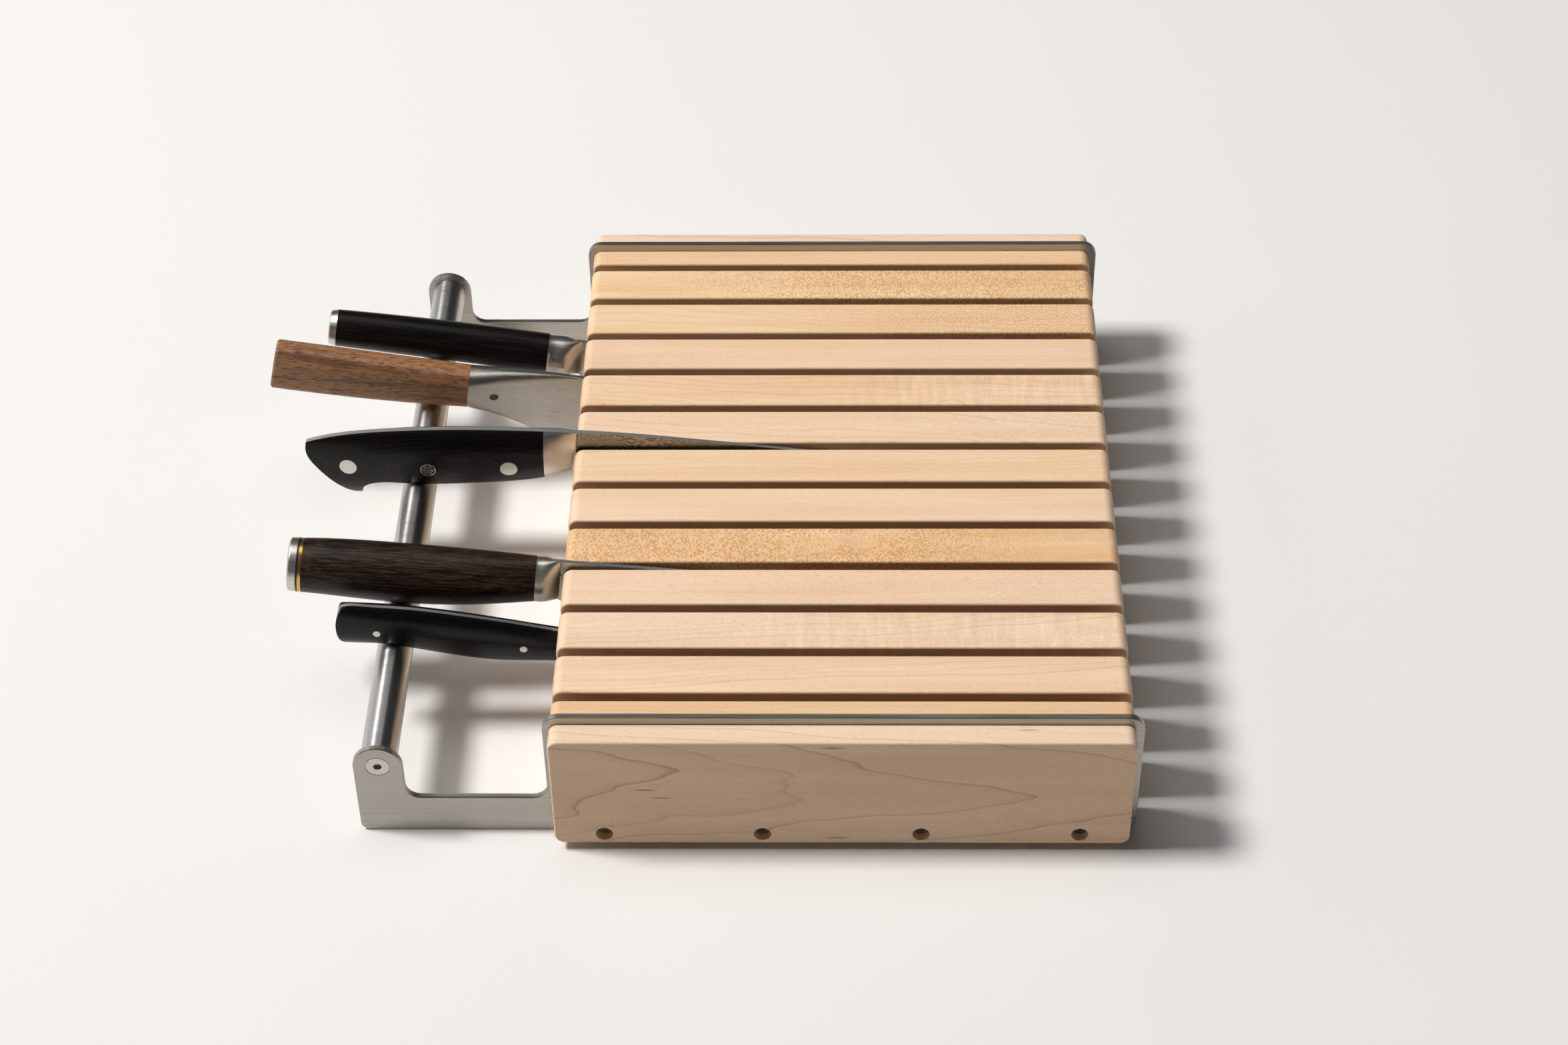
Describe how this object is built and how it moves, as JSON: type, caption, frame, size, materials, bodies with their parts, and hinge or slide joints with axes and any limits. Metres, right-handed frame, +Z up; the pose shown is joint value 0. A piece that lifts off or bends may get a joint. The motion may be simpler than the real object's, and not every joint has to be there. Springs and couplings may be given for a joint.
{
  "type": "knife block with knives",
  "caption": "Countertop knife block: maple boards on edge with open slots, steel side plates and handle bar, and five knives that lift out.",
  "frame": {"origin": "bottom centre of the whole object's box, on the surface it stands on", "axes": "+X along the slots from the handles to the free ends, +Y from the near side plate to the far one, +Z up"},
  "size_m": [0.4534, 0.4014, 0.0938],
  "materials": {
    "maple": "oiled, satin",
    "plate_steel": "brushed",
    "bar_steel": "fine turned",
    "screw_steel": "satin",
    "zinc_steel": "zinc plated",
    "nylon": "matte",
    "blade_steel": "satin ground",
    "patterned_steel": "etched pattern-welded",
    "bolster_steel": "polished",
    "black_pakkawood": "semi-gloss",
    "walnut": "oiled",
    "black_composite": "satin, layered",
    "rivet_steel": "polished",
    "wenge": "oiled, open grain",
    "gold_ring": "polished",
    "black_plastic": "glossy"
  },
  "bodies": {
    "rack": {"bar_screws": "screw_steel", "far_end_board": "maple", "far_half_slat": "maple", "far_side_plate": "plate_steel", "handle_rest_bar": "bar_steel", "near_end_board": "maple", "near_half_slat": "maple", "near_side_plate": "plate_steel", "rod_end_nuts": "zinc_steel", "slat_01": "maple", "slat_02": "maple", "slat_03": "maple", "slat_04": "maple", "slat_05": "maple", "slat_06": "maple", "slat_07": "maple", "slat_08": "maple", "slat_09": "maple", "slat_10": "maple", "slat_11": "maple", "slot_spacers_1": "nylon", "slot_spacers_2": "nylon", "slot_spacers_3": "nylon", "slot_spacers_4": "nylon", "tie_rod_1": "zinc_steel", "tie_rod_2": "zinc_steel", "tie_rod_3": "zinc_steel", "tie_rod_4": "zinc_steel"},
    "carving_knife": {"carving_blade": "blade_steel", "carving_bolster": "bolster_steel", "carving_end_cap": "bolster_steel", "carving_handle": "black_pakkawood"},
    "santoku_knife": {"santoku_blade": "blade_steel", "santoku_handle": "walnut"},
    "chef_knife": {"chef_blade": "patterned_steel", "chef_bolster": "bolster_steel", "chef_far_scale": "black_composite", "chef_mosaic_pin": "rivet_steel", "chef_near_scale": "black_composite", "chef_rivets": "rivet_steel"},
    "gyuto_knife": {"gyuto_black_ring": "black_plastic", "gyuto_blade": "blade_steel", "gyuto_bolster": "bolster_steel", "gyuto_end_cap": "bolster_steel", "gyuto_gold_ring": "gold_ring", "gyuto_handle": "wenge"},
    "paring_knife": {"paring_blade": "blade_steel", "paring_far_scale": "black_plastic", "paring_near_scale": "black_plastic", "paring_rivets": "rivet_steel"}
  },
  "joints": [
    {"name": "carving_lift", "type": "slide", "parent": "rack", "child": "carving_knife", "axis": [0, 0, 1], "range_m": [0, 0.09]},
    {"name": "santoku_lift", "type": "slide", "parent": "rack", "child": "santoku_knife", "axis": [0, 0, 1], "range_m": [0, 0.09]},
    {"name": "chef_lift", "type": "slide", "parent": "rack", "child": "chef_knife", "axis": [0, 0, 1], "range_m": [0, 0.09]},
    {"name": "gyuto_lift", "type": "slide", "parent": "rack", "child": "gyuto_knife", "axis": [0, 0, 1], "range_m": [0, 0.09]},
    {"name": "paring_lift", "type": "slide", "parent": "rack", "child": "paring_knife", "axis": [0, 0, 1], "range_m": [0, 0.09]}
  ]
}
